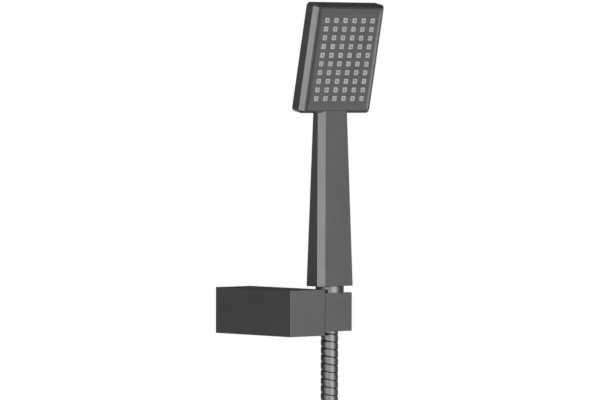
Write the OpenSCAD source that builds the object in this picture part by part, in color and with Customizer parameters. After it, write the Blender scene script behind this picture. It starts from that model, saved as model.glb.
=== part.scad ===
// Hand shower on a wall bracket: a square head on a tapered eight-sided handle stands in a
// cradle at the side of a box arm, with an interlocked metal hose on a conical nut.
// Origin: centre of the arm's back face, on the wall. +Y points into the wall, +Z up, and +X
// to the right of a person who faces the wall.

/* [Wall bracket] */
// Width of the arm
arm_w = 37.6; // [34:0.2:46]
// Height of the arm
arm_h = 37.2; // [32:0.2:46]
// How far the arm stands out from the wall
arm_reach = 90; // [75:1:115]
// Wall of the arm cover
arm_wall = 3; // [2.4:0.1:4]
// Depth of the plate that the arm slides over
wall_plate_d = 14; // [10:0.5:18]
// Distance between the two wall screws
wall_screw_pitch = 16; // [12:0.5:18]
// Diameter of the wall screw holes
wall_screw_d = 5; // [4:0.1:6]
// Diameter of the grub screw that locks the arm to its plate
grub_d = 5; // [4:0.5:6]

/* [Cradle] */
// Thickness of the cradle between its bore and the arm
cradle_web = 5.8; // [4.5:0.1:8]
// Height of the cradle block
cradle_h = 31; // [28:0.2:38]
// Wall of the cradle in front of its bore and behind it
cradle_wall = 1.8; // [1.4:0.1:3]
// Height of the plastic liner in the bore
liner_h = 24.5; // [20:0.5:27]
// Gap between the arm and the cradle
cradle_gap = 0.3; // [0.3:0.05:1]

/* [Cradle pivot] */
// Diameter of the pivot bolt
pivot_d = 8; // [6:0.5:8]
// Diameter of the pivot bolt's head
pivot_head_d = 13; // [12:0.5:14]
// Thickness of the pivot bolt's head
pivot_head_t = 2; // [1.5:0.1:2.5]
// Thickness of the bush around the pivot bolt
bush_wall = 1.5; // [1:0.1:2]
// Length of the boss inside the arm that holds the bush
boss_l = 4; // [3:0.5:6]
// Thickness of the friction washer inside the arm
washer_t = 1.1; // [0.8:0.1:1.6]
// Thickness of the spring washer
spring_washer_t = 1.5; // [1:0.1:2]
// Width across the flats of the lock nut
lock_nut_af = 13; // [11:0.5:14]
// Height of the lock nut
lock_nut_h = 6.5; // [5:0.5:8]

/* [Handle] */
// Width of the handle at its foot
handle_foot_w = 39.2; // [34:0.2:44]
// Depth of the handle at its foot
handle_foot_d = 21.7; // [20:0.1:26]
// Width of the handle at its neck
handle_neck_w = 32.1; // [28:0.1:38]
// Depth of the handle at its neck
handle_neck_d = 14.6; // [14:0.1:18]
// Leg of the four long chamfers
handle_chamfer = 4.6; // [3:0.1:5.4]
// Length of the handle, foot to neck
handle_l = 139.7; // [110:0.5:170]
// Wall of the handle
handle_wall = 2.2; // [1.8:0.1:2.6]
// Gap between the top of the arm and the foot of the handle
foot_gap = 2.1; // [1.6:0.1:6]

/* [Head] */
// Width of the head
head_w = 77.8; // [70:0.2:96]
// Height of the head
head_h = 89.3; // [84:0.1:110]
// Depth of the head's side walls
head_side_d = 7.8; // [7.4:0.1:12]
// Forward tilt of the head
head_tilt = 11.6; // [5:0.1:20]
// How far the rim's plane stands in front of the handle's axis, at the head's foot
head_forward = 4.1; // [3:0.1:5]
// Width of the front bevel at the sides
bevel_side = 3.4; // [2.4:0.1:5]
// Width of the front bevel at top and bottom
bevel_end = 2.3; // [1.6:0.1:4]
// Depth of the front bevel
bevel_d = 3; // [1.5:0.1:3.4]
// Width of the narrow lip inside the bevel at the sides
lip_side = 1.9; // [0.5:0.1:2.4]
// Width of that lip at top and bottom
lip_end = 0.3; // [0.3:0.1:1.2]
// Thickness of the head's back wall
head_back_t = 1.9; // [1.5:0.1:2.6]
// Radius of the head's corners
head_corner_r = 3.6; // [1:0.1:4]
// Height of the wedge that blends the handle into the head's back
wedge_h = 48; // [30:1:70]
// Width of that wedge at its top
wedge_w = 22; // [14:1:30]

/* [Spray face] */
// Gap around the face plate
face_gap = 0.3; // [0.3:0.1:0.8]
// How far the face plate's edge stands out of the lip around it
face_proud = 1; // [0:0.1:1.4]
// Thickness of the face plate's flat field
face_t = 1.5; // [1.2:0.1:2]
// Depth of the sloping border around the flat field
border_drop = 0.4; // [0.3:0.1:1]
// Width of the sloping border at the sides
border_side = 2.2; // [1.8:0.1:4]
// Width of the sloping border at top and bottom
border_end = 5.2; // [3:0.1:5.6]
// Number of nozzle columns
nozzle_cols = 6; // [4:1:7]
// Number of nozzle rows
nozzle_rows = 10; // [6:1:11]
// Spacing of the columns
nozzle_pitch_x = 9.95; // [8:0.05:10]
// Spacing of the rows
nozzle_pitch_z = 7.1; // [6.4:0.05:7.3]
// Side of a square nozzle
nozzle_side = 4.3; // [3:0.1:4.6]
// How far a nozzle stands out of the flat field
nozzle_proud = 0.6; // [0.4:0.1:2]
// Diameter of the water hole in a nozzle
nozzle_hole_d = 1.3; // [1:0.1:1.6]
// Thickness of the silicone sheet behind the face plate
mat_t = 1.2; // [1:0.1:1.6]
// Thickness of the chamber gasket
gasket_t = 2.4; // [1.8:0.1:2.6]
// Width of the chamber gasket's ring
gasket_w = 3; // [2:0.1:4]
// Thickness of the flow plate
flow_plate_t = 1.2; // [1:0.1:1.4]
// Diameter of the face screws
face_screw_d = 2.2; // [2:0.1:2.6]
// Diameter of the heads of the face screws
face_screw_head_d = 4.4; // [4:0.1:5]
// Height of the heads of the face screws
face_screw_head_h = 0.9; // [0.6:0.1:1]

/* [Water way] */
// Outer diameter of the water tube
tube_d = 9; // [8:0.1:9.4]
// Wall of the water tube
tube_wall = 1; // [0.8:0.1:1.2]
// Diameter of the G1/2 thread, at its root
thread_root_d = 18.64; // [18.4:0.02:18.8]
// Length of the threaded spigot below the handle
spigot_l = 11; // [9:0.5:12]
// Diameter of the inlet fitting inside the handle
inlet_body_d = 15; // [14:0.1:16]
// Height of the inlet fitting inside the handle
inlet_body_h = 17; // [14:0.5:22]
// Bore of the inlet fitting
inlet_bore_d = 11; // [10:0.1:12]
// Thickness of the O-rings on the water tube
seal_t = 1.2; // [1:0.1:1.4]
// Thickness of the inlet washer
inlet_washer_t = 2; // [1.5:0.1:2.5]

/* [Conical nut] */
// Diameter of the conical nut at its top
cone_top_d = 23; // [22.4:0.1:27.6]
// Diameter where the taper starts
cone_mid_d = 22.4; // [22:0.1:22.8]
// Diameter of the conical nut at its lower end
cone_low_d = 18.8; // [18.6:0.1:20]
// Height of the nut below the cradle's top
cone_depth = 27.5; // [25:0.5:29]
// Depth below the cradle's top where the taper starts
cone_straight = 6; // [4:0.5:8]

/* [Hose] */
// Outer diameter of the hose
hose_d = 14; // [11.6:0.1:14.2]
// How much wider a ferrule is than the hose
ferrule_step = 0.3; // [0.2:0.1:0.5]
// Length of a ferrule
ferrule_l = 12; // [8:0.5:14]
// Bore of the hose stems
stem_bore_d = 7; // [6:0.1:8]
// Diameter of the flange on a hose stem
stem_flange_d = 17.2; // [16:0.1:17.6]
// Thickness of the flange on a hose stem
stem_flange_t = 2.5; // [2:0.1:3]
// Diameter of the supply nut
supply_nut_d = 24; // [23:0.1:27]
// Length of the supply nut
supply_nut_l = 17; // [15:0.5:20]
// Number of ribs around the supply nut
supply_nut_ribs = 12; // [8:1:16]

/* [Clearances] */
// Running clearance of the pivot, on the radius
run_clear = 0.05; // [0.03:0.01:0.08]
// Clearance between pieces that slide into each other
slide_clear = 0.2; // [0.15:0.05:0.3]
// Clearance between bodies that move against each other
move_clear = 0.35; // [0.3:0.05:0.5]
// Clearance of the hose in the cradle's side slot, on each side
slot_clear = 0.8; // [0.5:0.1:1.2]

/* [Hidden] */
$fn = 48;
eps = 0.05;

// Sizes that follow the conical nut and the hose.
cradle_bore_d = cone_top_d + 2 * slide_clear;
cradle_w = cradle_bore_d + cradle_web;
cradle_d = cradle_bore_d + 2 * cradle_wall;
hose_slot_w = hose_d + 2 * slot_clear;
ferrule_d = hose_d + ferrule_step;

// The cradle stands at the arm's right side, flush with its front.
cradle_x0 = arm_w / 2 + cradle_gap;
cradle_x1 = arm_w / 2 + cradle_w;
cradle_top = cradle_h / 2;
cradle_front = -arm_reach;

// The handset's axis is central in the cradle's depth, and nearer its slotted side.
axis_x = cradle_x1 - cradle_bore_d / 2 - 0.2;
axis_y = cradle_front + cradle_d / 2;

// Pivot, along X through the handset's axis.
pivot_z = 0;
pivot_head_x = axis_x - cradle_bore_d / 2 - pivot_head_t;
arm_inner_x = arm_w / 2 - arm_wall;
boss_x = arm_inner_x - boss_l;
bush_d = pivot_d + 2 * bush_wall;
spring_washer_x = boss_x - washer_t - 0.1 - spring_washer_t;
lock_nut_x = spring_washer_x - lock_nut_h;

// Heights along the handset's axis.
handle_z = arm_h / 2 + foot_gap;
neck_z = handle_z + handle_l;
bulkhead_z = neck_z - 10;
top_seal_z = bulkhead_z + 1.5;
spigot_z = handle_z - spigot_l;
nut_top_z = handle_z - 0.3;
nut_mid_z = cradle_top - cone_straight;
nut_low_z = cradle_top - cone_depth;
stem_top_z = spigot_z - inlet_washer_t - 0.1;
flange_room_d = stem_flange_d + 2 * move_clear;

// The head's own frame: X right, Y back, Z up the plate, from the foot of the rim's plane.
head_y = axis_y - head_forward;
head_z = neck_z - 0.3;
open_w = head_w - 2 * (bevel_side + lip_side);
open_h = head_h - 2 * (bevel_end + lip_end);
inner_w = open_w - 2 * slide_clear;
inner_h = open_h - 2 * slide_clear;
face_w = open_w - 2 * face_gap;
face_h = open_h - 2 * face_gap;
mid_z = head_h / 2;
face_rim_y = -bevel_d - face_proud;
face_flat_y = face_rim_y + border_drop;
mat_y = face_flat_y + face_t;
gasket_y = mat_y + mat_t;
flow_y = gasket_y + gasket_t;
cavity_y = head_side_d - head_back_t;
boss_r = face_screw_d / 2 + 1.4;
screw_x = face_w / 2 - border_side - 1.6;
screw_z = face_h / 2 - border_end - 0.4;

// Hose: its neck stays straight and passes through the cradle with the handset. Below it,
// the stretch that isn't coiled is given as offsets from the handset's axis, at real heights.
hose_top_z = -11.8;
hose_neck_l = 45;
hose_route = [[0, 0, -58], [0, 0, -72], [0, 0, -86], [0, -2, -101], [-3, -7, -118],
    [-9, -11, -134], [-20, -13, -149], [-34, -13, -160], [-48, -13, -167],
    [-61, -12, -178], [-72, -10, -192], [-79, -9, -209], [-82, -8, -228]];
coil_r = 82;
coil_z = -228;
coil_turns = 2.25;
coil_pitch = hose_d + 0.3;
coil_y0 = axis_y - 8;
coil_y1 = coil_y0 + coil_turns * coil_pitch;
tail_l = 60;
tail_x0 = axis_x;
tail_x1 = axis_x + tail_l;
tail_z = coil_z - coil_r;
tie_t = 1.6;
tie_w = 14;
tie_in = hose_d + 1;
tie_angles = [60, 240];

module octagon(w, d, c)
    polygon([[-w / 2, -d / 2 + c], [-w / 2 + c, -d / 2], [w / 2 - c, -d / 2],
        [w / 2, -d / 2 + c], [w / 2, d / 2 - c], [w / 2 - c, d / 2],
        [-w / 2 + c, d / 2], [-w / 2, d / 2 - c]]);

// Rounded rectangle centred on the origin.
module rounded(w, h, r) {
    square([w - 2 * r, h], center = true);
    square([w, h - 2 * r], center = true);
    for (x = [-1, 1], y = [-1, 1])
        translate([x * (w / 2 - r), y * (h / 2 - r)]) circle(r);
}

// Slab in the head's frame, centred on the plate, from y to y + t.
module slab(w, h, r, y, t)
    translate([0, y + t, mid_z]) rotate([90, 0, 0]) linear_extrude(t) rounded(w, h, r);

// Cylinder along X, from x to x + l.
module rod_x(x, l, d) translate([x, 0, 0]) rotate([0, 90, 0]) cylinder(d = d, h = l);

// Cylinder along the head's Y, from y to y + l.
module rod_y(y, l, d) translate([0, y + l, 0]) rotate([90, 0, 0]) cylinder(d = d, h = l);

module at_axis() translate([axis_x, axis_y, 0]) children();

module at_pivot() translate([0, axis_y, pivot_z]) children();

module at_head() translate([axis_x, head_y, head_z]) rotate([head_tilt, 0, 0]) children();

module at_screws()
    for (x = [-1, 1], z = [-1, 1])
        translate([x * screw_x, 0, mid_z + z * screw_z]) children();

module at_nozzles()
    for (i = [0 : nozzle_cols - 1], j = [0 : nozzle_rows - 1])
        translate([(i - (nozzle_cols - 1) / 2) * nozzle_pitch_x, 0,
            mid_z + (j - (nozzle_rows - 1) / 2) * nozzle_pitch_z]) children();

module ring(d_out, d_in, h) {
    difference() {
        cylinder(d = d_out, h = h);
        translate([0, 0, -eps]) cylinder(d = d_in, h = h + 2 * eps);
    }
}

// ---- Wall bracket ----

module wall_plate() {
    w = arm_w - 2 * (arm_wall + slide_clear);
    h = arm_h - 2 * (arm_wall + slide_clear);
    color("silver") difference() {
        translate([-w / 2, -wall_plate_d, -h / 2]) cube([w, wall_plate_d, h]);
        for (s = [-1, 1])
            translate([0, eps, s * wall_screw_pitch / 2]) rotate([90, 0, 0])
                cylinder(d = wall_screw_d, h = wall_plate_d + 2 * eps);
        translate([0, -wall_plate_d / 2, -h / 2 - eps]) cylinder(d = grub_d, h = 4);
    }
}

module arm_cover() {
    w = arm_w - 2 * arm_wall;
    h = arm_h - 2 * arm_wall;
    color("dimgray") difference() {
        union() {
            difference() {
                translate([-arm_w / 2, -arm_reach, -arm_h / 2])
                    cube([arm_w, arm_reach, arm_h]);
                translate([-w / 2, -arm_reach + arm_wall, -h / 2])
                    cube([w, arm_reach, h]);
            }
            at_pivot() rod_x(boss_x, boss_l + eps, bush_d + 6);
        }
        at_pivot() rod_x(boss_x - eps, boss_l + arm_wall + 2 * eps, bush_d);
        translate([0, -wall_plate_d / 2, -arm_h / 2 - eps])
            cylinder(d = grub_d + 2 * run_clear, h = arm_wall + 2 * eps);
    }
}

module arm_grub_screw() {
    l = arm_wall + slide_clear + 3.5;
    color("gray") translate([0, -wall_plate_d / 2, -arm_h / 2 + 0.4]) difference() {
        cylinder(d = grub_d, h = l);
        translate([0, 0, -eps]) cylinder(d = grub_d / 2, h = 2, $fn = 6);
    }
}

module pivot_bush()
    color("white") at_pivot() translate([boss_x, 0, 0]) rotate([0, 90, 0])
        ring(bush_d, pivot_d + 2 * run_clear, boss_l + arm_wall);

module friction_disc()
    color("black") at_pivot() translate([arm_w / 2, 0, 0]) rotate([0, 90, 0])
        ring(22, pivot_d + 2 * move_clear, cradle_gap - 0.1);

module friction_washer()
    color("ivory") at_pivot() translate([boss_x - washer_t, 0, 0]) rotate([0, 90, 0])
        ring(17, pivot_d + 2 * move_clear, washer_t);

// ---- Cradle ----

module cradle_block() {
    color("dimgray") difference() {
        translate([cradle_x0, cradle_front, -cradle_top])
            cube([cradle_x1 - cradle_x0, cradle_d, cradle_h]);
        at_axis() translate([0, 0, -cradle_top - eps])
            cylinder(d = cradle_bore_d, h = cradle_h + 2 * eps);
        translate([axis_x, axis_y - hose_slot_w / 2, -cradle_top - eps])
            cube([cradle_w, hose_slot_w, cradle_h + 2 * eps]);
        at_pivot() rod_x(pivot_head_x, axis_x - pivot_head_x, pivot_head_d + 2 * run_clear);
        translate([cradle_x0 - eps, axis_y - pivot_d / 2, pivot_z - pivot_d / 2])
            cube([cradle_w / 2, pivot_d, pivot_d]);
    }
}

module cradle_liner() {
    low_r = cone_low_d / 2 + move_clear;
    high_r = cone_mid_d / 2 + move_clear;
    slope = (high_r - low_r) / (nut_mid_z - nut_low_z);
    bottom_r = low_r + slope * (-cradle_top - nut_low_z);
    top_z = -cradle_top + liner_h;
    top_r = low_r + slope * (top_z - nut_low_z);
    color("black") difference() {
        at_axis() rotate_extrude()
            polygon([[bottom_r, -cradle_top], [cradle_bore_d / 2, -cradle_top],
                [cradle_bore_d / 2, top_z], [top_r, top_z]]);
        translate([axis_x, axis_y - hose_slot_w / 2, -cradle_top - eps])
            cube([cradle_w, hose_slot_w, cradle_h + 2 * eps]);
    }
}

module pivot_bolt() {
    color("silver") {
        at_pivot() rod_x(pivot_head_x, pivot_head_t - 0.1, pivot_head_d);
        translate([cradle_x0, axis_y - pivot_d / 2 + eps, pivot_z - pivot_d / 2 + eps])
            cube([pivot_head_x - cradle_x0 + eps, pivot_d - 2 * eps, pivot_d - 2 * eps]);
        at_pivot() rod_x(lock_nut_x - 1.5, cradle_x0 - lock_nut_x + 1.5 + eps, pivot_d);
    }
}

module spring_washer()
    color("silver") at_pivot() translate([spring_washer_x, 0, 0]) rotate([0, 90, 0])
        ring(15, pivot_d + 0.4, spring_washer_t);

module lock_nut()
    color("silver") at_pivot() translate([lock_nut_x, 0, 0]) rotate([0, 90, 0]) difference() {
        cylinder(d = lock_nut_af / cos(30), h = lock_nut_h, $fn = 6);
        translate([0, 0, -eps]) cylinder(d = pivot_d, h = lock_nut_h + 2 * eps);
    }

// ---- Handset ----

// Tapered eight-sided handle, shrunk by inset all round, between two heights.
module handle_taper(z0, z1, inset) {
    function w(z) = handle_foot_w + (handle_neck_w - handle_foot_w) * (z - handle_z) / handle_l;
    function d(z) = handle_foot_d + (handle_neck_d - handle_foot_d) * (z - handle_z) / handle_l;
    c = max(handle_chamfer - inset * 0.6, 0.5);
    at_axis() hull() for (z = [z0, z1 - eps])
        translate([0, 0, z]) linear_extrude(eps)
            octagon(w(z) - 2 * inset, d(z) - 2 * inset, c);
}

// Wedge that carries the handle into the head's back.
module neck_wedge() {
    hull() {
        at_axis() translate([0, 0, neck_z - 8]) linear_extrude(eps)
            octagon(handle_neck_w, handle_neck_d, handle_chamfer);
        at_head() translate([-wedge_w / 2, head_side_d - 1.5, wedge_h - 4])
            cube([wedge_w, 1.6, 4]);
        at_axis() translate([0, 0, neck_z]) linear_extrude(eps)
            octagon(handle_neck_w, handle_neck_d, handle_chamfer);
    }
}

// Front bevel of the head: a low frustum with its own widths at the sides and the ends.
module head_bevel() {
    hull() {
        slab(head_w, head_h, head_corner_r, 0, eps, $fn = 32);
        slab(head_w - 2 * bevel_side, head_h - 2 * bevel_end, 0.3, -bevel_d, eps, $fn = 16);
    }
}

module handset_body() {
    color("dimgray") difference() {
        union() {
            handle_taper(handle_z, neck_z + 1, 0);
            neck_wedge();
            at_head() slab(head_w, head_h, head_corner_r, 0, head_side_d);
            at_head() head_bevel();
        }
        handle_taper(handle_z + 3, bulkhead_z, handle_wall);
        at_axis() translate([0, 0, handle_z - eps]) cylinder(d = inlet_body_d, h = 4);
        at_axis() translate([0, 0, bulkhead_z - 1]) cylinder(d = tube_d + 2 * run_clear, h = 7);
        at_axis() translate([0, 0, top_seal_z]) cylinder(d = tube_d + 2 * seal_t, h = seal_t);
        at_head() slab(open_w, open_h, 0.6, -bevel_d - 1, cavity_y + bevel_d + 1);
        at_head() translate([-tube_d / 2 + 1, cavity_y - 2.4, -6]) cube([tube_d - 2, 2.4, 12]);
    }
}

module face_plate() {
    color("gray") at_head() difference() {
        union() {
            slab(face_w, face_h, 0.5, face_rim_y, mat_y - face_rim_y);
            at_screws() rod_y(mat_y - eps, mat_t + gasket_t + eps, 2 * boss_r);
        }
        hull() {
            slab(face_w - 2 * border_side, face_h - 2 * border_end, 0.3, face_flat_y - eps, eps,
                $fn = 16);
            slab(face_w - 0.6, face_h - 0.6, 0.3, face_rim_y - eps, eps, $fn = 16);
        }
        at_nozzles() translate([0, (face_rim_y + mat_y) / 2, 0])
            cube([nozzle_side + 2 * run_clear, 6, nozzle_side + 2 * run_clear], center = true);
        at_screws() rod_y(mat_y, mat_t + gasket_t + 1, face_screw_d);
    }
}

module nozzle_mat() {
    tip_y = face_flat_y - nozzle_proud;
    color("gainsboro") at_head() difference() {
        union() {
            slab(inner_w, inner_h, 0.5, mat_y, mat_t);
            at_nozzles() translate([-nozzle_side / 2, tip_y, -nozzle_side / 2])
                cube([nozzle_side, mat_y - tip_y + eps, nozzle_side]);
        }
        at_nozzles() rod_y(tip_y - 1, mat_y - tip_y + mat_t + 2, nozzle_hole_d);
        at_screws() rod_y(mat_y - 1, mat_t + 2, 2 * boss_r + 2 * slide_clear);
    }
}

module chamber_gasket() {
    color("black") at_head() difference() {
        slab(inner_w, inner_h, 0.5, gasket_y, gasket_t);
        slab(inner_w - 2 * gasket_w, inner_h - 2 * gasket_w, 0.5, gasket_y - 1, gasket_t + 2);
        at_screws() rod_y(gasket_y - 1, gasket_t + 2, 2 * boss_r + 2 * slide_clear);
    }
}

module flow_plate() {
    color("white") at_head() difference() {
        slab(inner_w, inner_h, 0.5, flow_y, flow_plate_t);
        for (x = [-20, 0, 20], z = [-30, -10, 10, 30])
            translate([x, 0, mid_z + z]) rod_y(flow_y - 1, flow_plate_t + 2, 4);
        at_screws() rod_y(flow_y - 1, flow_plate_t + 2, face_screw_d + 2 * slide_clear);
    }
}

module face_screws() {
    back_y = flow_y + flow_plate_t;
    color("silver") at_head() at_screws() {
        rod_y(back_y, face_screw_head_h, face_screw_head_d);
        rod_y(mat_y + 0.3, back_y - mat_y, face_screw_d);
    }
}

module water_tube() {
    z0 = handle_z + 3 + inlet_body_h - 6;
    color("white") at_axis() translate([0, 0, z0])
        ring(tube_d, tube_d - 2 * tube_wall, bulkhead_z + 5 - z0);
}

module tube_seals() {
    z0 = handle_z + 3 + inlet_body_h - 3;
    color("black") at_axis() for (z = [z0, top_seal_z])
        translate([0, 0, z]) ring(tube_d + 2 * seal_t, tube_d, seal_t);
}

module inlet_fitting() {
    top_z = handle_z + 3 + inlet_body_h;
    color("goldenrod") at_axis() difference() {
        union() {
            translate([0, 0, spigot_z]) cylinder(d = thread_root_d, h = spigot_l - 0.1);
            translate([0, 0, handle_z - 0.2]) cylinder(d = inlet_body_d - 2 * run_clear,
                h = top_z - handle_z + 0.2);
        }
        translate([0, 0, spigot_z - eps]) cylinder(d = inlet_bore_d, h = spigot_l + 6);
        translate([0, 0, handle_z]) cylinder(d = tube_d - 2 * tube_wall, h = inlet_body_h + 5);
        translate([0, 0, top_z - 6]) cylinder(d = tube_d + 2 * run_clear, h = 7);
        translate([0, 0, top_z - 3 - slide_clear]) cylinder(d = tube_d + 2 * seal_t, h = 4);
    }
}

module flow_limiter() {
    color("ivory") at_axis() translate([0, 0, spigot_z + 4]) difference() {
        cylinder(d = inlet_bore_d - 2 * run_clear, h = 4);
        for (a = [0 : 60 : 300])
            rotate(a) translate([3, 0, -eps]) cylinder(d = 1.6, h = 4 + 2 * eps);
    }
}

module filter_screen() {
    color("silver") at_axis() translate([0, 0, spigot_z + 1.5]) difference() {
        cylinder(d = inlet_bore_d - 2 * run_clear, h = 1.2);
        for (x = [-3 : 2 : 3], y = [-3 : 2 : 3])
            if (norm([x, y]) < 4) translate([x - 0.5, y - 0.5, -eps]) cube([1, 1, 2]);
    }
}

module inlet_washer()
    color("black") at_axis() translate([0, 0, spigot_z - inlet_washer_t])
        ring(stem_flange_d, inlet_bore_d - 1, inlet_washer_t);

module cone_nut() {
    shoulder_z = stem_top_z - stem_flange_t - move_clear;
    color("gray") at_axis() difference() {
        rotate_extrude()
            polygon([[0, nut_low_z], [cone_low_d / 2, nut_low_z], [cone_mid_d / 2, nut_mid_z],
                [cone_top_d / 2, nut_top_z], [0, nut_top_z]]);
        translate([0, 0, nut_low_z - eps])
            cylinder(d = ferrule_d + 2 * move_clear, h = cone_depth + 10);
        translate([0, 0, shoulder_z]) cylinder(d = flange_room_d, h = 20);
        translate([0, 0, spigot_z - 0.5]) cylinder(d = thread_root_d, h = 40);
    }
}

// ---- Hose ----

// Hose end that seals on a flange: flange, bore and a barb inside the ferrule.
module stem(flange_d) {
    color("goldenrod") difference() {
        union() {
            cylinder(d = flange_d, h = stem_flange_t);
            translate([0, 0, stem_flange_t - eps]) cylinder(d = ferrule_d - 3, h = ferrule_l - 2);
        }
        translate([0, 0, -eps]) cylinder(d = stem_bore_d, h = ferrule_l + stem_flange_t + 2);
    }
}

module hose_stem() at_axis() translate([0, 0, stem_top_z]) mirror([0, 0, 1]) stem(stem_flange_d);

module hose_ferrule() {
    top_z = stem_top_z - stem_flange_t;
    color("silver") at_axis() translate([0, 0, hose_top_z]) difference() {
        cylinder(d = ferrule_d, h = top_z - hose_top_z);
        translate([0, 0, top_z - hose_top_z - ferrule_l + 2])
            cylinder(d = ferrule_d - 3, h = ferrule_l);
        translate([0, 0, -eps]) cylinder(d = stem_bore_d, h = 40);
    }
}

// Tube swept along points: rings square to the path, with flat ends.
module swept(points, d, sides) {
    n = len(points);
    function unit(v) = v / norm(v);
    function tangent(i) = unit(points[min(i + 1, n - 1)] - points[max(i - 1, 0)]);
    function side(i) = unit(cross(tangent(i), [0, 1, 0.001]));
    function over(i) = cross(side(i), tangent(i));
    verts = [for (i = [0 : n - 1], k = [0 : sides - 1])
        points[i] + d / 2 * (cos(360 * k / sides) * side(i) + sin(360 * k / sides) * over(i))];
    skin = [for (i = [0 : n - 2], k = [0 : sides - 1])
        [i * sides + k, i * sides + (k + 1) % sides,
            (i + 1) * sides + (k + 1) % sides, (i + 1) * sides + k]];
    polyhedron(verts, concat(skin, [[for (k = [sides - 1 : -1 : 0]) k]],
        [[for (k = [0 : sides - 1]) (n - 1) * sides + k]]), convexity = 6);
}

module hose_neck()
    color("dimgray") at_axis() translate([0, 0, hose_top_z - hose_neck_l])
        cylinder(d = hose_d, h = hose_neck_l);

module hose_upper()
    color("dimgray") at_axis() swept(hose_route, hose_d, 12);

// Outer shape of the coil, as a ring around Y.
module hose_coil() {
    half = (coil_y1 - coil_y0 + hose_d) / 2;
    color("dimgray") translate([axis_x, (coil_y0 + coil_y1) / 2, coil_z]) rotate([90, 0, 0])
        rotate_extrude() translate([coil_r - hose_d / 2, -half]) square([hose_d, 2 * half]);
}

module hose_tail()
    color("dimgray") translate([0, coil_y1, tail_z]) rod_x(tail_x0, tail_l, hose_d);

// Bands that hold the turns of the coil together.
module hose_ties() {
    w = coil_y1 - coil_y0 + hose_d;
    color("black") for (a = tie_angles)
        translate([axis_x, (coil_y0 + coil_y1) / 2, coil_z]) rotate([0, -a, 0])
            translate([coil_r, 0, 0]) difference() {
                cube([tie_in + 2 * tie_t, w + 2 * tie_t, tie_w], center = true);
                cube([tie_in, w, tie_w + 1], center = true);
            }
}

end_ferrule_x = tail_x1;
end_stem_x = end_ferrule_x + ferrule_l + stem_flange_t;
supply_nut_x = end_ferrule_x + ferrule_l - 3;

module end_ferrule()
    color("silver") translate([end_ferrule_x, coil_y1, tail_z]) rotate([0, 90, 0]) difference() {
        cylinder(d = ferrule_d, h = ferrule_l);
        translate([0, 0, 2]) cylinder(d = ferrule_d - 3, h = ferrule_l);
        translate([0, 0, -eps]) cylinder(d = stem_bore_d, h = ferrule_l);
    }

module end_stem()
    translate([end_stem_x, coil_y1, tail_z]) rotate([0, -90, 0]) stem(stem_flange_d);

module supply_nut() {
    shoulder = end_stem_x - stem_flange_t - move_clear - supply_nut_x;
    thread = end_stem_x + inlet_washer_t + move_clear - supply_nut_x;
    color("silver") translate([supply_nut_x, coil_y1, tail_z]) rotate([0, 90, 0]) difference() {
        cylinder(d = supply_nut_d, h = supply_nut_l);
        translate([0, 0, -eps]) cylinder(d = ferrule_d + 2 * move_clear, h = supply_nut_l);
        translate([0, 0, shoulder]) cylinder(d = flange_room_d, h = supply_nut_l);
        translate([0, 0, thread]) cylinder(d = thread_root_d, h = supply_nut_l);
        for (a = [0 : 360 / supply_nut_ribs : 359])
            rotate(a) translate([supply_nut_d / 2 + 0.9, 0, 2.5])
                cylinder(d = 3, h = supply_nut_l);
    }
}

module supply_washer()
    color("black") translate([end_stem_x + 0.1, coil_y1, tail_z]) rotate([0, 90, 0])
        ring(stem_flange_d, inlet_bore_d - 1, inlet_washer_t);

wall_plate();
arm_cover();
arm_grub_screw();
pivot_bush();
friction_disc();
friction_washer();
cradle_block();
cradle_liner();
pivot_bolt();
spring_washer();
lock_nut();
handset_body();
face_plate();
nozzle_mat();
chamber_gasket();
flow_plate();
face_screws();
water_tube();
tube_seals();
inlet_fitting();
flow_limiter();
filter_screen();
inlet_washer();
cone_nut();
hose_stem();
hose_ferrule();
hose_neck();
hose_upper();
hose_coil();
hose_tail();
hose_ties();
end_ferrule();
end_stem();
supply_nut();
supply_washer();
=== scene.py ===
"""Looks of the hand shower, its wall bracket and its hose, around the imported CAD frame."""
import math

import bmesh
import bpy
from mathutils import Matrix, Vector


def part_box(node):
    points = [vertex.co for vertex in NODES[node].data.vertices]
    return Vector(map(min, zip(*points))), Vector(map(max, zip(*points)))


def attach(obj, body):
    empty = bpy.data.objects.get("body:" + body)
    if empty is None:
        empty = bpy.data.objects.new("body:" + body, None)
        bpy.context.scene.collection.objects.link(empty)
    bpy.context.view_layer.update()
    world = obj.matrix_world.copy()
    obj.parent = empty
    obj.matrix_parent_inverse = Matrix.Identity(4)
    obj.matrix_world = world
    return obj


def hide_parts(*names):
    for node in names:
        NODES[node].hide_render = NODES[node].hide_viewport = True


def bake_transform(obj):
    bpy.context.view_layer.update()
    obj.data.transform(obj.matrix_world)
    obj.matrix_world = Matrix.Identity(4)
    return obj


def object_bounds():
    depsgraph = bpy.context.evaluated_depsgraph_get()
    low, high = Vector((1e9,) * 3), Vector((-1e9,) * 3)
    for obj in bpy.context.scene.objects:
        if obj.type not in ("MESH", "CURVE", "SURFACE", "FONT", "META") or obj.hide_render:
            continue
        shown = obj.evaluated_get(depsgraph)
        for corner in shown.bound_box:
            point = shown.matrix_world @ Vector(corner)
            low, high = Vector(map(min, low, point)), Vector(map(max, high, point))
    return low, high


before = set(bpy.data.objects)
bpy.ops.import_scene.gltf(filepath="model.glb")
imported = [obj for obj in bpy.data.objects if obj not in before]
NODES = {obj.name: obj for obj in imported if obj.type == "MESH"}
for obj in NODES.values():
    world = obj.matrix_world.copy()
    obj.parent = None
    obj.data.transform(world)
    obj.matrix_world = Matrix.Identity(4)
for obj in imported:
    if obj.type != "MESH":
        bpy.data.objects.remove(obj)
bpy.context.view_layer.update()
MM = 0.001


def middle(node):
    """Centre of a CAD node's box."""
    low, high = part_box(node)
    return (low + high) / 2


# ---- Places and sizes taken from the frame ----

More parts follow.
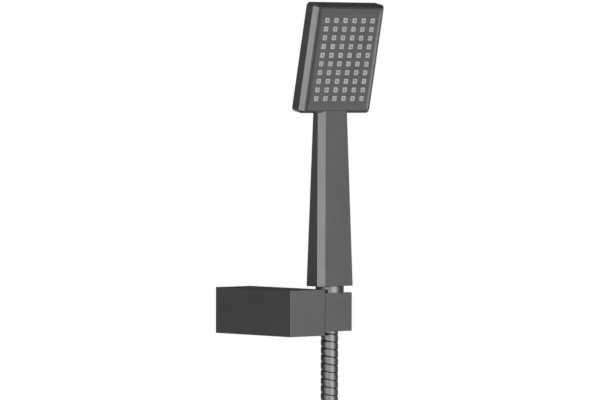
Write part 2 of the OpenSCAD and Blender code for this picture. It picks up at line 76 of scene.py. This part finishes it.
ARM_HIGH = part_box("arm_cover")[1]
NUT_LOW, NUT_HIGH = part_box("cone_nut")
AXIS = middle("cone_nut")                       # the handset's axis, in X and Y
HEAD_TILT = math.radians(11.6)
HEAD_FORWARD = 4.1 * MM                         # from the axis to the foot of the head's rim
HEAD_H = 89.3 * MM
HANDLE_L = 139.7 * MM
# The head's own frame: X right, Y back, Z up the plate, from the foot of its rim.
HEAD = (Matrix.Translation((AXIS.x, AXIS.y - HEAD_FORWARD, NUT_HIGH.z + HANDLE_L))
        @ Matrix.Rotation(HEAD_TILT, 4, "X"))
HOSE_D = 14 * MM
HOSE_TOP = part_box("hose_neck")[1].z


def head_box(node):
    """Lowest and highest corners of a CAD node in the head's own frame, in millimetres."""
    turn = HEAD.inverted()
    points = [(turn @ v.co) / MM for v in NODES[node].data.vertices]
    return Vector(map(min, *points)), Vector(map(max, *points))


# ---- Camera ----

CAMERA_AZIMUTH, CAMERA_PITCH, CAMERA_ROLL = -42.54, 1.45, 0.15
CAMERA_DISTANCE = 4.022


def make_camera():
    """Long lens, level with the handset, looking at the bracket's left front corner."""
    azimuth, pitch = math.radians(CAMERA_AZIMUTH), math.radians(CAMERA_PITCH)
    target = Vector((AXIS.x - 25 * MM, AXIS.y + 8.4 * MM, ARM_HIGH.z + 71.5 * MM))
    away = Vector((math.sin(azimuth) * math.cos(pitch),
                   -math.cos(azimuth) * math.cos(pitch), math.sin(pitch)))
    data = bpy.data.cameras.new("camera")
    data.lens = 300
    data.sensor_width = 36
    data.clip_start, data.clip_end = 0.1, 100
    camera = bpy.data.objects.new("camera", data)
    bpy.context.scene.collection.objects.link(camera)
    camera.location = target + away * CAMERA_DISTANCE
    camera.rotation_mode = "QUATERNION"
    turn = (-away).to_track_quat("-Z", "Y")
    roll = Matrix.Rotation(math.radians(CAMERA_ROLL), 3, "Z").to_quaternion()
    camera.rotation_quaternion = turn @ roll
    bpy.context.scene.camera = camera


make_camera()


# ---- Mesh helpers ----

def add_mesh(name, verts, faces, smooth_angle=35):
    """New object in the row frame from vertices in metres, shaded smooth below an angle."""
    mesh = bpy.data.meshes.new(name)
    mesh.from_pydata([tuple(v) for v in verts], [], faces)
    return add_object(name, mesh, smooth_angle)


def add_object(name, mesh, smooth_angle=35):
    """New object in the row frame that holds a mesh."""
    obj = bpy.data.objects.new(name, mesh)
    bpy.context.scene.collection.objects.link(obj)
    shade(obj, smooth_angle)
    return obj


def shade(obj, smooth_angle):
    """Smooth shading that breaks at edges sharper than an angle in degrees."""
    obj.data.polygons.foreach_set("use_smooth", [True] * len(obj.data.polygons))
    obj.data.set_sharp_from_angle(angle=math.radians(smooth_angle))
    obj.data.update()


def settle(obj):
    """Applies an object's modifiers to its mesh."""
    depsgraph = bpy.context.evaluated_depsgraph_get()
    mesh = bpy.data.meshes.new_from_object(obj.evaluated_get(depsgraph))
    obj.modifiers.clear()
    obj.data = mesh


def round_edges(obj, edge, segments=3, angle=28):
    """Rounds the hard edges off a mesh and keeps its large faces flat."""
    bevel = obj.modifiers.new("edges", "BEVEL")
    bevel.width = edge
    bevel.segments = segments
    bevel.limit_method = "ANGLE"
    bevel.angle_limit = math.radians(angle)
    flat = obj.modifiers.new("flat_faces", "WEIGHTED_NORMAL")
    flat.mode = "FACE_AREA"
    flat.weight = 100
    flat.keep_sharp = True
    shade(obj, 180)
    settle(obj)


def refined(node, name, edge):
    """Copy of a CAD node with its hard edges rounded off, which stands for that node."""
    mesh = NODES[node].data.copy()
    work = bmesh.new()
    work.from_mesh(mesh)
    bmesh.ops.remove_doubles(work, verts=work.verts, dist=2e-6)
    bmesh.ops.dissolve_limit(work, angle_limit=math.radians(0.6), verts=work.verts,
                             edges=work.edges)
    work.to_mesh(mesh)
    work.free()
    mesh.materials.clear()
    obj = add_object(name, mesh)
    round_edges(obj, edge)
    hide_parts(node)
    return obj


def bridge(rings, start=0):
    """Faces between closed rings of vertices that all have the same count, numbered in turn."""
    count = len(rings[0])
    faces = []
    for i in range(len(rings) - 1):
        near, far = start + i * count, start + (i + 1) * count
        for k in range(count):
            m = (k + 1) % count
            faces.append((near + k, near + m, far + m, far + k))
    return faces


def add_solid(verts, faces, rings):
    """Adds a closed solid to a mesh's lists: rings of vertices with a flat face at each end."""
    start, count = len(verts), len(rings[0])
    last = start + (len(rings) - 1) * count
    verts.extend(v for ring in rings for v in ring)
    faces.extend(bridge(rings, start))
    faces.append(tuple(start + k for k in range(count - 1, -1, -1)))
    faces.append(tuple(last + k for k in range(count)))


def lathe(name, profile, place, turns=96, flutes=0, depth=0.0):
    """Solid of revolution. profile holds (radius, height, fluted) all round the section,
    in millimetres; the points marked fluted sink in at each flute."""
    rings = []
    for i in range(turns + 1):
        a = 2 * math.pi * (i % turns) / turns
        sink = depth * max(0.0, math.cos(a * flutes)) ** 3 if flutes else 0.0
        rings.append([place @ (Vector(((r - sink * fluted) * math.cos(a),
                                       (r - sink * fluted) * math.sin(a), z)) * MM)
                      for r, z, fluted in profile])
    verts = [v for ring in rings[:-1] for v in ring]
    total = len(verts)
    faces = [tuple(v % total for v in face) for face in bridge(rings)]
    return add_mesh(name, verts, faces, 32)


def rounded_rectangle(width, height, corner, parts=5):
    """Points of a rectangle with round corners, centred on the origin."""
    points = []
    for quarter in range(4):
        middle_x = (width / 2 - corner) * (1, -1, -1, 1)[quarter]
        middle_z = (height / 2 - corner) * (1, 1, -1, -1)[quarter]
        for k in range(parts):
            a = math.pi / 2 * (quarter + k / (parts - 1))
            points.append((middle_x + corner * math.cos(a), middle_z + corner * math.sin(a)))
    return points


# ---- Hose ----

# The stretch that isn't coiled, in millimetres from the handset's axis, with real heights.
HOSE_ROUTE = [(0, 0, -58), (0, 0, -72), (0, 0, -86), (0, -2, -101), (-3, -7, -118),
              (-9, -11, -134), (-20, -13, -149), (-34, -13, -160), (-48, -13, -167),
              (-61, -12, -178), (-72, -10, -192), (-79, -9, -209), (-82, -8, -228)]
COIL_R, COIL_Z, COIL_TURNS, COIL_PITCH = 82, -228, 2.25, 14.3
TAIL = 60
HOSE_PITCH = 6.2


def spline(points, step):
    """Catmull-Rom curve through points, sampled about every step."""
    ends = [points[0] * 2 - points[1], *points, points[-1] * 2 - points[-2]]
    line = []
    for i in range(1, len(ends) - 2):
        a, b, c, d = ends[i - 1:i + 3]
        parts = max(2, round((c - b).length / step))
        for k in range(parts):
            t = k / parts
            line.append(0.5 * ((2 * b) + (c - a) * t + (2 * a - 5 * b + 4 * c - d) * t * t
                               + (3 * b - a - 3 * c + d) * t ** 3))
    line.append(points[-1])
    return line


def hose_line():
    """The hose's centreline from ferrule to ferrule: the route, the coil and the straight end."""
    origin = Vector((AXIS.x, AXIS.y, 0))
    route = [Vector((0, 0, HOSE_TOP / MM)), *map(Vector, HOSE_ROUTE)]
    line = spline(route, 4)
    steps = round(COIL_TURNS * 120)
    for i in range(1, steps + 1):
        turn = COIL_TURNS * i / steps
        a = math.pi + 2 * math.pi * turn
        line.append(Vector((COIL_R * math.cos(a), route[-1].y + COIL_PITCH * turn,
                            COIL_Z + COIL_R * math.sin(a))))
    last = line[-1]
    line += [last + Vector((x, 0, 0)) for x in range(5, TAIL + 1, 5)]
    return [origin + p * MM for p in line]


def resample(line, step):
    """The same line with points one step apart."""
    out, left = [line[0]], step
    for a, b in zip(line, line[1:]):
        length = (b - a).length
        while length >= left:
            a = a.lerp(b, left / length)
            out.append(a)
            length = (b - a).length
            left = step
        left -= length
    if (out[-1] - line[-1]).length > step * 0.3:
        out.append(line[-1])
    return out


# Rows of the interlocked strip across one pitch: the share of the pitch, and the depth below
# the hose's full radius in millimetres. The first three rows are the seam.
STRIP = ((0.0, 0.36), (0.03, 0.9), (0.06, 0.36), (0.12, 0.18), (0.2, 0.05), (0.38, 0.0),
         (0.62, 0.0), (0.8, 0.05), (0.91, 0.18))
# Place of the first seam along the hose, in pitches.
SEAM_START = 0.26


def carried_frames(line):
    """Two directions across the line at each of its points, carried along without a twist."""
    tangent = (line[1] - line[0]).normalized()
    side = Vector((1, 0, 0)) - tangent * tangent.x
    frames = []
    for i in range(len(line)):
        ahead = (line[min(i + 1, len(line) - 1)] - line[max(i - 1, 0)]).normalized()
        side = (side - ahead * side.dot(ahead)).normalized()
        frames.append((side, ahead.cross(side)))
    return frames


def make_hose():
    """Interlocked strip hose: a tube whose rows of points follow a left-handed strip seam."""
    sides, step, end_depth = 32, 2 * MM, 0.3
    line = resample(hose_line(), step)
    frames = carried_frames(line)
    span = len(line) - 1
    rows = len(STRIP)
    pitches = math.ceil(span * step / (HOSE_PITCH * MM)) + 2
    verts, faces = [], []
    for row in range(pitches * rows):
        share, depth = STRIP[row % rows]
        for k in range(sides):
            turn = row // rows - 1 + SEAM_START + share - k / sides
            along = turn * HOSE_PITCH * MM / step
            at_end = not 0 < along < span
            along = min(max(along, 0), span)
            i = min(int(along), span - 1)
            part = along - i
            side = frames[i][0].lerp(frames[i + 1][0], part)
            over = frames[i][1].lerp(frames[i + 1][1], part)
            a = 2 * math.pi * k / sides
            r = HOSE_D / 2 - (end_depth if at_end else depth) * MM
            verts.append(line[i].lerp(line[i + 1], part)
                         + (side * math.cos(a) + over * math.sin(a)) * r)
    # The row after the last side is the one a pitch further back, as on a screw thread.
    for row in range(pitches * rows - 1):
        for k in range(sides):
            back = rows if k == sides - 1 else 0
            m = (k + 1) % sides
            if row >= back:
                faces.append((row * sides + k, (row - back) * sides + m,
                              (row + 1 - back) * sides + m, (row + 1) * sides + k))
    mesh = bpy.data.meshes.new("metal_hose")
    mesh.from_pydata([tuple(v) for v in verts], [], faces)
    work = bmesh.new()
    work.from_mesh(mesh)
    bmesh.ops.remove_doubles(work, verts=work.verts, dist=2e-6)
    bmesh.ops.dissolve_degenerate(work, edges=work.edges, dist=2e-6)
    bmesh.ops.holes_fill(work, edges=[e for e in work.edges if e.is_boundary], sides=0)
    bmesh.ops.delete(work, geom=[v for v in work.verts if not v.link_faces], context="VERTS")
    bmesh.ops.recalc_face_normals(work, faces=work.faces)
    work.to_mesh(mesh)
    work.free()
    hose = add_object("metal_hose", mesh, 50)
    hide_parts("hose_neck", "hose_upper", "hose_coil", "hose_tail")
    return hose, line


hose, hose_path = make_hose()


# ---- Materials ----

def material(name):
    """New material with its node tree and its Principled shader."""
    made = bpy.data.materials.new(name)
    made.use_nodes = True
    tree = made.node_tree
    shader = next(n for n in tree.nodes if n.type == "BSDF_PRINCIPLED")
    return made, tree, shader


def add_node(tree, kind, **values):
    """New node with values for its input sockets or its own settings."""
    node = tree.nodes.new(kind)
    for key, value in values.items():
        if key in node.inputs:
            node.inputs[key].default_value = value
        else:
            setattr(node, key, value)
    return node


def noise(tree, scale, detail, stretch=(1, 1, 1)):
    """Noise in the piece's own metres; scale is features to a metre."""
    place = add_node(tree, "ShaderNodeTexCoord")
    mapping = add_node(tree, "ShaderNodeMapping", Scale=stretch)
    tree.links.new(place.outputs["Object"], mapping.inputs["Vector"])
    texture = add_node(tree, "ShaderNodeTexNoise", Scale=scale, Detail=detail)
    tree.links.new(mapping.outputs["Vector"], texture.inputs["Vector"])
    return texture.outputs["Fac"]


def spread(tree, value, low, high):
    """Maps a noise value on to low..high."""
    ranged = add_node(tree, "ShaderNodeMapRange")
    ranged.inputs["From Min"].default_value = 0.3
    ranged.inputs["From Max"].default_value = 0.7
    ranged.inputs["To Min"].default_value = low
    ranged.inputs["To Max"].default_value = high
    tree.links.new(value, ranged.inputs["Value"])
    return ranged.outputs["Result"]


def vary_colour(tree, shader, value, dark, light):
    """Base colour that drifts between two tones with a noise value."""
    ramp = add_node(tree, "ShaderNodeValToRGB")
    ramp.color_ramp.elements[0].position = 0.35
    ramp.color_ramp.elements[1].position = 0.65
    ramp.color_ramp.elements[0].color = (*dark, 1)
    ramp.color_ramp.elements[1].color = (*light, 1)
    tree.links.new(value, ramp.inputs["Fac"])
    tree.links.new(ramp.outputs["Color"], shader.inputs["Base Color"])


def add_bump(tree, shader, value, height):
    """Relief of a height in metres from a noise value."""
    bump = add_node(tree, "ShaderNodeBump", Strength=1.0, Distance=height)
    tree.links.new(value, bump.inputs["Height"])
    tree.links.new(bump.outputs["Normal"], shader.inputs["Normal"])


def satin_metal(name, tone, roughness, grain=2600, stretch=(1, 1, 1), bump=0.00001):
    """Satin coat over metal: a fine blasted grain, with soft drifts of tone and gloss."""
    made, tree, shader = material(name)
    shader.inputs["Metallic"].default_value = 1.0
    vary_colour(tree, shader, noise(tree, 40, 4), [tone * 0.96] * 3, [tone * 1.04] * 3)
    tree.links.new(spread(tree, noise(tree, grain, 2, stretch), roughness - 0.03,
                          roughness + 0.03), shader.inputs["Roughness"])
    add_bump(tree, shader, noise(tree, grain, 2, stretch), bump)
    return made


def moulded(name, tone, roughness, grain=1500, bump=0.00002):
    """Moulded plastic or rubber with a fine matt skin."""
    made, tree, shader = material(name)
    vary_colour(tree, shader, noise(tree, 90, 3), [c * 0.94 for c in tone],
                [c * 1.05 for c in tone])
    tree.links.new(spread(tree, noise(tree, grain, 2), roughness - 0.05, roughness + 0.05),
                   shader.inputs["Roughness"])
    add_bump(tree, shader, noise(tree, grain, 2), bump)
    return made


GUNMETAL = satin_metal("gunmetal_coat", 0.30, 0.36)
FACE_METAL = satin_metal("face_coat", 0.27, 0.44)
NUT_METAL = satin_metal("nut_coat", 0.26, 0.17, stretch=(1, 1, 0.2))
HOSE_METAL = satin_metal("hose_coat", 0.27, 0.22)
PLATED = satin_metal("plated_steel", 0.62, 0.28)
CAST_ZINC = satin_metal("cast_zinc", 0.55, 0.45, grain=900, bump=0.00004)
BRASS = satin_metal("machined_brass", 0.6, 0.3)
ACETAL = moulded("white_acetal", (0.78, 0.78, 0.75), 0.45)
BLACK_PLASTIC = moulded("black_moulding", (0.02, 0.02, 0.021), 0.5)
SILICONE = moulded("grey_silicone", (0.6, 0.6, 0.605), 0.55)
RUBBER = moulded("black_rubber", (0.018, 0.018, 0.018), 0.6)
WEBBING = moulded("black_webbing", (0.02, 0.02, 0.021), 0.85, grain=2600, bump=0.0002)


def paint(obj, made):
    """Gives a piece one material."""
    obj.data.materials.clear()
    obj.data.materials.append(made)


# ---- Casings: CAD shapes with their edges rounded off ----

CASINGS = (("arm_cover", "arm_cover_shell", "bracket", 0.35, GUNMETAL),
           ("cradle_block", "cradle_shell", "cradle", 0.12, GUNMETAL),
           ("handset_body", "handset_shell", "handset", 0.28, GUNMETAL))
for node, name, body, edge, look in CASINGS:
    casing = refined(node, name, edge * MM)
    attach(casing, body)
    paint(casing, look)
paint(hose, HOSE_METAL)


# ---- Spray face ----

NOZZLE_COLS, NOZZLE_ROWS = 6, 10
NOZZLE_PITCH_X, NOZZLE_PITCH_Z = 9.95, 7.1
NOZZLE_SIDE, NOZZLE_GAP = 4.3, 0.05
SHEET_T = 1.2
BORDER_SIDE, BORDER_END, BORDER_DROP = 2.2, 5.2, 0.4


def in_head(x, y, z):
    """Place in the row frame of a point in the head's own frame, in millimetres."""
    return HEAD @ (Vector((x, y, z)) * MM)


def column_x(col):
    """Middle of a column of nozzles, across the head."""
    return (col - (NOZZLE_COLS - 1) / 2) * NOZZLE_PITCH_X


def row_z(row):
    """Middle of a row of nozzles, up the head."""
    return HEAD_H / MM / 2 + (row - (NOZZLE_ROWS - 1) / 2) * NOZZLE_PITCH_Z


def make_nozzles():
    """Silicone sheet with square nozzles that taper through the face plate."""
    low, high = head_box("nozzle_mat")
    tip_y, sheet_y = low.y, high.y - SHEET_T
    # Side, corner radius and depth of each level of a nozzle, from the sheet to its flat tip.
    levels = ((NOZZLE_SIDE, 0.3, sheet_y + 0.2), (NOZZLE_SIDE, 0.3, sheet_y - 1.5),
              (4.15, 0.35, tip_y + 0.3), (4.1, 0.4, tip_y + 0.1), (3.95, 0.45, tip_y))
    # Radius and depth of each level of its water hole.
    hole = ((1.15, tip_y), (1.0, tip_y + 0.15), (0.9, tip_y + 1.2), (0.8, tip_y + 2.6))
    # A circle of radius 1. Its corners stop just short, so that no two of its points meet.
    circle = rounded_rectangle(2, 2, 0.999)
    outlines = [(rounded_rectangle(side, side, corner), y) for side, corner, y in levels]
    outlines += [([(r * x, r * z) for x, z in circle], y) for r, y in hole]
    verts, faces = [], []
    for col in range(NOZZLE_COLS):
        for row in range(NOZZLE_ROWS):
            x0, z0 = column_x(col), row_z(row)
            add_solid(verts, faces, [[in_head(x0 + x, y, z0 + z) for x, z in outline]
                                     for outline, y in outlines])
    sheet = [(low.x, low.z), (high.x, low.z), (high.x, high.z), (low.x, high.z)]
    add_solid(verts, faces, [[in_head(x, y, z) for x, z in sheet] for y in (high.y, sheet_y)])
    nozzles = add_mesh("nozzle_sheet", verts, faces, 40)
    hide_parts("nozzle_mat")
    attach(nozzles, "handset")
    paint(nozzles, SILICONE)


def make_face_plate():
    """Spray plate: a flat field with square nozzle holes, set down inside a sloping border."""
    low, high = head_box("face_plate")
    rim_y, back_y = low.y, head_box("nozzle_mat")[1].y - SHEET_T
    flat_y = rim_y + BORDER_DROP
    width, height, mid_z = high.x - low.x, high.z - low.z, (low.z + high.z) / 2
    half_hole = NOZZLE_SIDE / 2 + NOZZLE_GAP
    margin = 1.0                                # from the outer holes to the grid's own edge
    xs = [x for col in range(NOZZLE_COLS)
          for x in (column_x(col) - half_hole, column_x(col) + half_hole)]
    zs = [z for row in range(NOZZLE_ROWS)
          for z in (row_z(row) - half_hole, row_z(row) + half_hole)]
    xs = [xs[0] - margin, *xs, xs[-1] + margin]
    zs = [zs[0] - margin, *zs, zs[-1] + margin]
    n_x, n_z = len(xs), len(zs)
    verts = [(x, y, z) for y in (flat_y, back_y) for x in xs for z in zs]

    def grid(side, i, j):
        """Number of the vertex at a crossing, on the front (side 0) or the back (side 1)."""
        return (side * n_x + i) * n_z + j

    faces = []
    for i in range(n_x - 1):
        for j in range(n_z - 1):
            cell = ((i, j), (i + 1, j), (i + 1, j + 1), (i, j + 1))
            if i % 2 and j % 2:
                for a, b in zip(cell, cell[1:] + cell[:1]):
                    faces.append((grid(0, *a), grid(0, *b), grid(1, *b), grid(1, *a)))
            else:
                faces += [tuple(grid(side, *corner) for corner in cell) for side in (0, 1)]
    # The border dishes: share of its width from the field to the rim, for each ring. The last
    # ring but one already stands at the rim's height, and then the back follows.
    dish = (0, 0.1, 0.25, 0.4, 0.55, 0.7, 0.85, 0.94, 1)
    outlines = [(width - 2 * BORDER_SIDE * (1 - t), height - 2 * BORDER_END * (1 - t),
                 flat_y - BORDER_DROP * min(t / dish[-2], 1) ** 1.4) for t in dish]
    outlines.append((width, height, back_y))
    parts = 7
    rings = [[(x, y, mid_z + z) for x, z in rounded_rectangle(w, h, 0.7, parts)]
             for w, h, y in outlines]
    start, count = len(verts), len(rings[0])
    verts += [v for ring in rings for v in ring]
    faces += bridge(rings, start)
    # On each side, four faces join the grid's edges to the ring that lies next to them.
    corners_ij = ((n_x - 1, n_z - 1), (0, n_z - 1), (0, 0), (n_x - 1, 0))
    for side, base in ((0, start), (1, start + (len(rings) - 1) * count)):
        for quarter in range(4):
            first = quarter * parts + parts // 2
            edge = [base + (first + k) % count for k in range(parts + 1)]
            (i0, j0), (i1, j1) = corners_ij[quarter], corners_ij[(quarter + 1) % 4]
            steps = max(abs(i1 - i0), abs(j1 - j0))
            inner = [grid(side, i0 + (i1 - i0) * k // steps, j0 + (j1 - j0) * k // steps)
                     for k in range(steps + 1)]
            faces.append(tuple(edge + inner[::-1]))
    mesh = bpy.data.meshes.new("face_plate_cover")
    mesh.from_pydata([tuple(in_head(*v)) for v in verts], [], faces)
    work = bmesh.new()
    work.from_mesh(mesh)
    bmesh.ops.recalc_face_normals(work, faces=work.faces)
    work.to_mesh(mesh)
    work.free()
    plate = add_object("face_plate_cover", mesh)
    round_edges(plate, 0.12 * MM, 2, 40)
    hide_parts("face_plate")
    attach(plate, "handset")
    paint(plate, FACE_METAL)


make_nozzles()
make_face_plate()


# ---- Turned pieces ----

def along_x(x, y, z):
    """Frame whose Z points along the row's X, at a place in metres."""
    return Matrix.Translation((x, y, z)) @ Matrix.Rotation(math.radians(90), 4, "Y")


def make_cone_nut():
    """Conical nut: a turned skin with eased rims, hollow for the hose stem and the thread."""
    low, high = NUT_LOW.z / MM, NUT_HIGH.z / MM
    outside = [(8.3, low, 0), (9.0, low + 0.12, 0), (9.4, low + 0.6, 0), (11.2, 9.3, 0),
               (11.21, 9.7, 0), (11.45, high - 0.5, 0), (11.4, high - 0.15, 0), (11.1, high, 0)]
    inside = [(9.32, high, 0), (9.32, 9.2, 0), (8.95, 9.2, 0), (8.95, 4.75, 0), (7.5, 4.75, 0),
              (7.5, low, 0)]
    nut = lathe("conical_nut", outside + inside, Matrix.Translation((AXIS.x, AXIS.y, 0)), 128)
    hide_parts("cone_nut")
    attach(nut, "handset")
    paint(nut, NUT_METAL)


def make_supply_nut():
    """Ribbed union nut at the hose's far end, with thread turns inside its mouth."""
    low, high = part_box("supply_nut")
    length = (high.x - low.x) / MM
    place = along_x(low.x, (low.y + high.y) / 2, (low.z + high.z) / 2)
    outside = [(8.6, 0, 0), (11.2, 0, 0), (11.85, 0.35, 0), (12.0, 1.0, 0), (12.0, 2.4, 0),
               (12.0, 3.0, 1), (12.0, length - 1.6, 1), (12.0, length - 1.1, 0),
               (11.9, length - 0.35, 0), (11.4, length, 0)]
    turns, start, end = 4, 8.2, length - 0.4
    pitch = (end - start) / turns
    thread = []
    for k in range(turns):
        z = end - k * pitch
        thread += [(9.6, z, 0), (9.1, z - pitch / 2, 0)]
    inside = [(10.2, length, 0), *thread, (9.3, start, 0), (8.95, start, 0), (8.95, 5.2, 0),
              (7.5, 5.2, 0), (7.5, 0, 0)]
    nut = lathe("union_nut", outside + inside, place, 192, flutes=12, depth=0.6)
    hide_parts("supply_nut")
    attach(nut, "supply_nut")
    paint(nut, NUT_METAL)
    return nut


def make_end_ferrule():
    """Sleeve that is crimped on to the hose's far end in three rings."""
    low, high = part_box("end_ferrule")
    length = (high.x - low.x) / MM
    place = along_x(low.x, (low.y + high.y) / 2, (low.z + high.z) / 2)
    outside = [(6.6, 0, 0), (7.0, 0.1, 0), (7.15, 0.4, 0)]
    for z in (2.6, 4.6, 6.6):
        outside += [(7.15, z - 0.5, 0), (6.85, z - 0.15, 0), (6.85, z + 0.15, 0),
                    (7.15, z + 0.5, 0)]
    outside += [(7.15, length - 0.4, 0), (6.9, length, 0)]
    inside = [(5.65, length, 0), (5.65, 2, 0), (3.5, 2, 0), (3.5, 0, 0)]
    sleeve = lathe("crimped_ferrule", outside + inside, place, 64)
    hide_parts("end_ferrule")
    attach(sleeve, "hose")
    paint(sleeve, HOSE_METAL)
    return sleeve


make_cone_nut()
union_nut = make_supply_nut()
ferrule = make_end_ferrule()


# ---- Straps round the coil ----

def make_straps():
    """Two hook-and-loop straps, each a band wound once round the turns that it crosses."""
    centre = Vector((AXIS.x, AXIS.y + HOSE_ROUTE[-1][1] * MM, 0))
    thick, half_w, slack, overlap = 1.2, 7, 0.5, 9
    # The band's section: place across its width and depth below its face, with eased corners.
    ease_w, ease_t = 0.4, 0.25
    section = ((-half_w, ease_t), (-half_w + ease_w, 0), (half_w - ease_w, 0),
               (half_w, ease_t), (half_w, thick - ease_t), (half_w - ease_w, thick),
               (-half_w + ease_w, thick), (-half_w, thick - ease_t))
    r = HOSE_D / MM / 2 + slack
    parts = 20
    verts, faces = [], []
    for degrees, turns in ((60, (2 / 3, 5 / 3)), (240, (1 / 6, 7 / 6, 13 / 6))):
        a = math.radians(degrees)
        out = Vector((math.cos(a), 0, math.sin(a)))
        along = Vector((-math.sin(a), 0, math.cos(a)))
        first, last = turns[0] * COIL_PITCH, turns[-1] * COIL_PITCH
        loop = []
        for begin, y in ((0, last), (math.pi, first)):
            for k in range(parts + 1):
                b = begin + math.pi * k / parts
                loop.append((r * math.cos(b), y + r * math.sin(b)))
        # The band runs once round, and its free end lies over its start on the outer side.
        lap = first + (last - first) * 0.25
        path = [(r, lap), *loop, (r + thick, lap), (r + thick, lap + overlap)]
        rings = []
        for k, (u, v) in enumerate(path):
            before, after = path[max(k - 1, 0)], path[min(k + 1, len(path) - 1)]
            du, dv = after[0] - before[0], after[1] - before[1]
            size = math.hypot(du, dv)
            nu, nv = dv / size, -du / size
            rings.append([centre + (out * (COIL_R + (u + nu * t)) + along * w
                                    + Vector((0, v + nv * t, COIL_Z))) * MM
                          for w, t in section])
        add_solid(verts, faces, rings)
    straps = add_mesh("coil_straps", verts, faces, 40)
    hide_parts("hose_ties")
    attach(straps, "hose")
    paint(straps, WEBBING)
    return straps


straps = make_straps()


# ---- CAD nodes that keep their own shape ----

NODE_LOOKS = {
    "wall_plate": CAST_ZINC, "arm_grub_screw": PLATED, "pivot_bush": ACETAL,
    "friction_disc": BLACK_PLASTIC, "friction_washer": ACETAL, "cradle_liner": BLACK_PLASTIC,
    "pivot_bolt": PLATED, "spring_washer": PLATED, "lock_nut": PLATED,
    "chamber_gasket": RUBBER, "flow_plate": ACETAL, "face_screws": PLATED,
    "water_tube": ACETAL, "tube_seals": RUBBER, "inlet_fitting": BRASS,
    "flow_limiter": ACETAL, "filter_screen": PLATED, "inlet_washer": RUBBER,
    "hose_stem": BRASS, "hose_ferrule": HOSE_METAL, "end_stem": BRASS, "supply_washer": RUBBER}
for node, look in NODE_LOOKS.items():
    paint(NODES[node], look)

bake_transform(hose)


# ---- Stage and light ----

FLOOR_DROP, FLOOR_RADIUS, FLOOR_GLOW = 0.02, 3.4, 0.84
# Strength of the white world as the camera sees it, and as it lights the pieces.
WORLD_SEEN, WORLD_FILL = 1.0, 0.065


def make_floor():
    """Pale disc below the hanging coil. The metal doesn't mirror it, so it stays plain."""
    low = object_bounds()[0].z - FLOOR_DROP
    count, radius = 96, FLOOR_RADIUS
    verts = [(AXIS.x + radius * math.cos(2 * math.pi * i / count),
              AXIS.y + radius * math.sin(2 * math.pi * i / count), low) for i in range(count)]
    floor = add_mesh("floor", verts, [tuple(range(count))])
    made, tree, shader = material("pale_floor")
    shader.inputs["Base Color"].default_value = (0, 0, 0, 1)
    shader.inputs["Specular IOR Level"].default_value = 0
    shader.inputs["Emission Color"].default_value = (1, 1, 1, 1)
    shader.inputs["Emission Strength"].default_value = FLOOR_GLOW
    paint(floor, made)
    floor.visible_glossy = False
    floor.visible_diffuse = False
    floor.visible_shadow = False


PANEL_DISTANCE, PANEL_W = 2.6, 0.92
# Two parts of a ring of soft panels, tall at the front and low behind. Each gives the height of
# a panel's middle, its own height, and the azimuth from the front and the radiance of each one.
PANELS = ((-0.35, 3.9, ((-120, 0.06), (-100, 0.05), (-80, 0.1), (-60, 0.4), (-40, 0.85),
                        (-20, 1.05), (0, 0.76), (20, 1.25), (40, 1.6), (60, 0.95), (80, 0.31),
                        (100, 0.13), (120, 0.15), (140, 0.12))),
          (-1.5, 2.2, ((140, 0.2), (160, 0.08), (180, 0.12), (-160, 0.4), (-140, 0.6),
                       (-120, 0.3))))
OVERHEAD_RADIANCE, OVERHEAD_SIDE, OVERHEAD_Z = 0.12, 3.0, 2.2


def add_panel(name, azimuth, radiance, middle_z, height):
    """Upright soft box that faces the handset."""
    a = math.radians(azimuth + CAMERA_AZIMUTH)
    data = bpy.data.lights.new(name, "AREA")
    data.shape = "RECTANGLE"
    data.size, data.size_y = PANEL_W, height
    data.energy = radiance * math.pi * PANEL_W * height
    light = bpy.data.objects.new(name, data)
    bpy.context.scene.collection.objects.link(light)
    away = Vector((math.sin(a), -math.cos(a), 0))
    light.location = Vector((AXIS.x, AXIS.y, middle_z)) + away * PANEL_DISTANCE
    light.rotation_mode = "QUATERNION"
    light.rotation_quaternion = (-away).to_track_quat("-Z", "Y")
    light.visible_camera = False


def add_overhead():
    """Dim square soft box above the handset."""
    data = bpy.data.lights.new("overhead", "AREA")
    data.shape = "SQUARE"
    data.size = OVERHEAD_SIDE
    data.energy = OVERHEAD_RADIANCE * math.pi * OVERHEAD_SIDE * OVERHEAD_SIDE
    light = bpy.data.objects.new("overhead", data)
    bpy.context.scene.collection.objects.link(light)
    light.location = (AXIS.x, AXIS.y, OVERHEAD_Z)
    light.visible_camera = False


def make_light():
    """White studio world, the ring of panels and the overhead box."""
    scene = bpy.context.scene
    scene.view_settings.view_transform = "Standard"
    world = bpy.data.worlds.new("studio")
    scene.world = world
    world.use_nodes = True
    tree = world.node_tree
    tree.nodes.clear()
    out = tree.nodes.new("ShaderNodeOutputWorld")
    mix = tree.nodes.new("ShaderNodeMixShader")
    seen = add_node(tree, "ShaderNodeBackground", Color=(1, 1, 1, 1), Strength=WORLD_SEEN)
    dim = add_node(tree, "ShaderNodeBackground", Color=(1, 1, 1, 1), Strength=WORLD_FILL)
    ray = tree.nodes.new("ShaderNodeLightPath")
    tree.links.new(ray.outputs["Is Camera Ray"], mix.inputs["Fac"])
    tree.links.new(dim.outputs["Background"], mix.inputs[1])
    tree.links.new(seen.outputs["Background"], mix.inputs[2])
    tree.links.new(mix.outputs["Shader"], out.inputs["Surface"])
    for middle_z, height, ring in PANELS:
        for azimuth, radiance in ring:
            add_panel("panel", azimuth, radiance, middle_z, height)
    add_overhead()


make_floor()
make_light()
